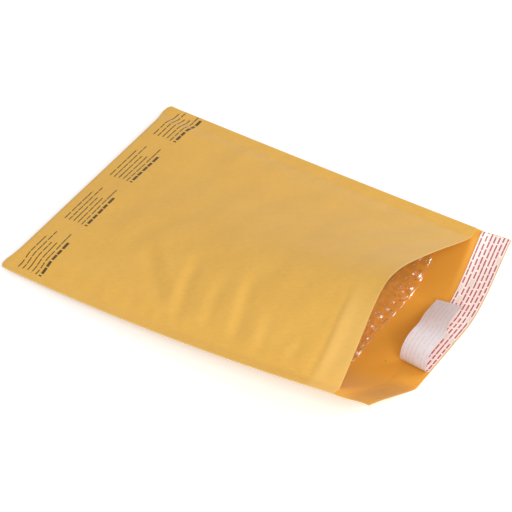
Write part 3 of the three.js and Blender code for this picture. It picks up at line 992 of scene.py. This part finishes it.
def makeGlue():
    start, end = pocketLength + glue["mouthGap"], flapEnd - glue["edgeInset"]
    along = np.linspace(start, end, round((end - start) / glue["cell"]) + 1)
    reach = 1 - glue["endInset"] / halfWidth
    across = np.linspace(-reach, reach, round(2 * halfWidth / glue["cell"]) + 1)
    depth = mailer["paper"] + glue["lift"]
    lower = backPoint(along[:, None], across, depth)
    upper = backPoint(along[:, None], across, depth + glue["thickness"])
    path = along + sheetLength - flapEnd
    made = closedSheet("glue_band", lower, upper, (across + 1) * halfWidth, path, sheetLength)
    sharpenRims(made)
    made.data.materials.append(glueMaterial())
    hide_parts("adhesive_strip")
    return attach(made, "root")


makeGlue()
print("glue band made")

# Release liner: stuck down from the far end to the peel line, then looped back over itself
liner = {
    "thickness": 0.16,
    "depth": 1.45,  # outer face of the flap to the middle of the liner
    "mouthGap": 6.0,
    "edgeInset": 0.5,
    "endInset": 1.0,
    "peelLine": -12.0,
    "loopBulge": 13.5,
    "loopHeight": 24.5,
    "loopTop": 6.0,
    "tailReach": 63.0,
    "tailHeight": 7.0,
    "tailEase": 17.0,
    "tailLanding": 27.0,
    "tailDrift": 10.0,
    "tailTwist": 6.0,
    "stuckSteps": 70,
    "loopSteps": 36,
    "tailSteps": 36,
    "columns": 10,
    "face": (248, 228, 222),
    "patch": (226, 214, 204),  # some dashes are left out for a plain patch
    "patchFrom": (0.85, 0.87),
    "pink": (244, 178, 176),
    "pinkBelow": (0.3, 0.28),
    "pinkShare": 0.18,
    "cloud": (236, 200, 188),
    "cloudRange": (0.3, 0.7),
    "cloudShare": 0.1,
    "ink": (160, 74, 84),
    "inkRange": (0.25, 0.45),
    "inkStrength": (0.72, 1.0),
    "back": (220, 213, 216),
    "showThrough": 0.13,  # print seen through the back
    "rowPitch": 3.36,
    "ruleWidth": 1.25,
    "dashPitch": 6.6,
    "dashFill": 0.84,
    "fibreLength": 2.5,
    "fibreWidth": 0.4,
    "cloudSize": 14.0,
    "fibreRange": (0.3, 0.7),
    "roughness": (0.4, 0.5),
    "grainDepth": 0.04,
    "grainStrength": 0.25,
}


def bezier(points, steps):
    share = np.linspace(0, 1, steps + 1)[:, None]
    rest = 1 - share
    a, b, c, d = (np.array(point, float) for point in points)
    return rest**3 * a + 3 * rest**2 * share * b + 3 * rest * share**2 * c + share**3 * d


def linerPoints():
    outer, mouth = flapEnd - liner["edgeInset"], pocketLength + liner["mouthGap"]
    width = np.linspace(outer, mouth, liner["columns"] + 1)
    peelAcross = liner["peelLine"] / halfWidthAt(outer)
    stuckAcross = np.linspace(1 - liner["endInset"] / halfWidth, peelAcross, liner["stuckSteps"] + 1)
    stuck = backPoint(width[None, :], stuckAcross[:, None], liner["depth"])
    ground = float(backHeight(outer, peelAcross)) + liner["depth"]
    bulge, height, reach = -liner["loopBulge"], liner["loopHeight"], liner["tailReach"]
    top = (liner["loopTop"], height)
    loop = bezier([(0, 0), (bulge, 0), (bulge, height), top], liner["loopSteps"])
    eases = (liner["loopTop"] + liner["tailEase"], height)
    lands = (reach - liner["tailLanding"], liner["tailHeight"])
    tail = bezier([top, eases, lands, (reach, liner["tailHeight"])], liner["tailSteps"])
    share = np.linspace(0, 1, liner["tailSteps"] + 1)[1:]
    eased = np.concatenate([np.zeros(liner["loopSteps"]), share**3 * (share * (6 * share - 15) + 10)])
    route = np.concatenate([loop[1:], tail[1:]])
    lean = np.linspace(1, -1, liner["columns"] + 1) * liner["tailTwist"] / 2
    x = width[None, :] - liner["tailDrift"] * eased[:, None]
    y = liner["peelLine"] + route[:, :1] + 0 * x
    z = ground + route[:, 1:] + eased[:, None] * lean
    return np.concatenate([stuck, np.stack([x, y, z], -1)])


linerMiddle = linerPoints()
linerSteps = np.linalg.norm(np.diff(linerMiddle[:, liner["columns"] // 2], axis=0), axis=-1)
linerPath = np.concatenate([[0], np.cumsum(linerSteps)])
linerLength = float(linerPath[-1])
linerWidth = mailer["flapLength"] - liner["mouthGap"] - liner["edgeInset"]


def linerMaterial():
    made, tree, shader = newMaterial("printed release liner")
    flat, across, along = flatCoordinates(tree, linerLength)
    paper = grain(tree, flat, liner)
    rules = printedRules(tree, along, across, liner["ruleWidth"], liner)
    patch = ramp(tree, rules["Patch"], *liner["patchFrom"])
    face = blendColour(tree, patch, colour(*liner["face"]), colour(*liner["patch"]))
    pink = ramp(tree, rules["Patch"], *liner["pinkBelow"], 0.0, liner["pinkShare"])
    face = blendColour(tree, pink, face, colour(*liner["pink"]))
    printed = math2(tree, "MULTIPLY", rules["Print"], math2(tree, "SUBTRACT", 1.0, patch))
    strength = ramp(tree, paper["Fibres"], *liner["inkRange"], *liner["inkStrength"])
    face = blendColour(tree, math2(tree, "MULTIPLY", printed, strength), face, colour(*liner["ink"]))
    cloud = ramp(tree, paper["Clouds"], *liner["cloudRange"], 0.0, liner["cloudShare"])
    face = blendColour(tree, cloud, face, colour(*liner["cloud"]))
    faint = math2(tree, "MULTIPLY", printed, liner["showThrough"])
    plain = blendColour(tree, faint, colour(*liner["back"]), colour(*liner["ink"]))
    onBack = faceMasks(tree)[0]
    tree.links.new(blendColour(tree, onBack, face, plain), shader.inputs["Base Color"])
    rough = ramp(tree, paper["Fibres"], *liner["fibreRange"], *liner["roughness"])
    tree.links.new(rough, shader.inputs["Roughness"])
    bump = put(tree, "Bump", {
        "Strength": liner["grainStrength"],
        "Distance": liner["grainDepth"] * mm,
        "Height": paper["Fibres"],
    })
    tree.links.new(bump.outputs[0], shader.inputs["Normal"])
    return made


def makeLiner():
    normal = np.cross(np.gradient(linerMiddle, axis=1), np.gradient(linerMiddle, axis=0))
    normal /= np.linalg.norm(normal, axis=-1, keepdims=True)
    away = normal * liner["thickness"] / 2
    width = np.linspace(0, linerWidth, liner["columns"] + 1)
    made = closedSheet("release_strip", linerMiddle + away, linerMiddle - away, width, linerPath, linerLength)
    sharpenRims(made)
    made.data.materials.append(linerMaterial())
    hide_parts("release_liner")
    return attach(made, "root")


makeLiner()
print("release liner made: %.0f mm long" % linerLength)

# Floor, light and camera, in metres
studio = {
    "floorSize": 6.0,
    "floorDrop": 0.0002,
    "floorTone": 0.9,
    "floorRoughness": 0.9,
    "floorGlow": 0.3,
    "skyStrength": 0.61,
    "lamps": [
        {"name": "key", "from": (0.75, -0.75, 1.15), "size": (0.9, 0.35), "power": 9.0},
        {"name": "side", "from": (1.3, 0.75, 0.75), "size": (0.6, 0.6), "power": 10.0},
        {"name": "mouth", "from": (1.25, -0.95, 0.75), "size": (0.5, 0.3), "power": 5.0},  # into the pocket
    ],
}


def seenMask(tree):  # what the camera sees, straight or by mirror or through a clear layer
    path = put(tree, "LightPath")
    bounced = math2(tree, "MAXIMUM", path.outputs["Is Glossy Ray"], path.outputs["Is Transmission Ray"])
    return math2(tree, "MAXIMUM", path.outputs["Is Camera Ray"], bounced)


def makeFloor():
    half = studio["floorSize"] / 2
    corners = [(-half, -half, 0), (half, -half, 0), (half, half, 0), (-half, half, 0)]
    mesh = bpy.data.meshes.new("floor")
    mesh.from_pydata(corners, [], [(0, 1, 2, 3)])
    floor = bpy.data.objects.new("floor", mesh)
    scene.collection.objects.link(floor)
    floor.location.z = -studio["floorDrop"]
    made, tree, shader = newMaterial("pale floor")
    shader.inputs["Base Color"].default_value = (studio["floorTone"],) * 3 + (1.0,)
    shader.inputs["Roughness"].default_value = studio["floorRoughness"]
    shader.inputs["Specular IOR Level"].default_value = 0.0
    shader.inputs["Emission Color"].default_value = (1, 1, 1, 1)
    glow = math2(tree, "MULTIPLY", seenMask(tree), studio["floorGlow"])
    tree.links.new(glow, shader.inputs["Emission Strength"])
    mesh.materials.append(made)


def makeSky():
    world = bpy.data.worlds.new("studio")
    scene.world = world
    world.use_nodes = True
    tree = world.node_tree
    background = tree.nodes["Background"]
    background.inputs["Color"].default_value = (1, 1, 1, 1)
    strength = ramp(tree, seenMask(tree), 0.0, 1.0, studio["skyStrength"], 1.0)
    tree.links.new(strength, background.inputs["Strength"])


def makeLamp(look):
    lamp = bpy.data.lights.new(look["name"], "AREA")
    lamp.shape = "RECTANGLE"
    lamp.size, lamp.size_y = look["size"]
    lamp.energy = look["power"]
    made = bpy.data.objects.new(look["name"], lamp)
    scene.collection.objects.link(made)
    made.location = look["from"]
    made.rotation_euler = (-Vector(look["from"])).to_track_quat("-Z", "Y").to_euler()


# Distances in millimetres from the closed fold, angles in degrees
view = {
    "lens": 161.0,
    "sensor": 36.0,
    "distance": 1877.0,
    "elevation": 45.9,
    "azimuth": 34.5,
    "target": (161.0, 13.0, 0.0),
}


def makeCamera():
    lift, turn = math.radians(view["elevation"]), math.radians(view["azimuth"])
    away = Vector((math.sin(turn) * math.cos(lift), -math.cos(turn) * math.cos(lift), math.sin(lift)))
    target = Vector(view["target"]) - Vector((middleX, 0, 0))
    data = bpy.data.cameras.new("camera")
    data.lens = view["lens"]
    data.sensor_width = view["sensor"]
    made = bpy.data.objects.new("camera", data)
    scene.collection.objects.link(made)
    made.location = (target + away * view["distance"]) * mm
    made.rotation_euler = (-away).to_track_quat("-Z", "Y").to_euler()
    scene.camera = made


makeFloor()
makeSky()
for lampLook in studio["lamps"]:
    makeLamp(lampLook)
makeCamera()
scene.view_settings.view_transform = "Standard"
print("studio set")
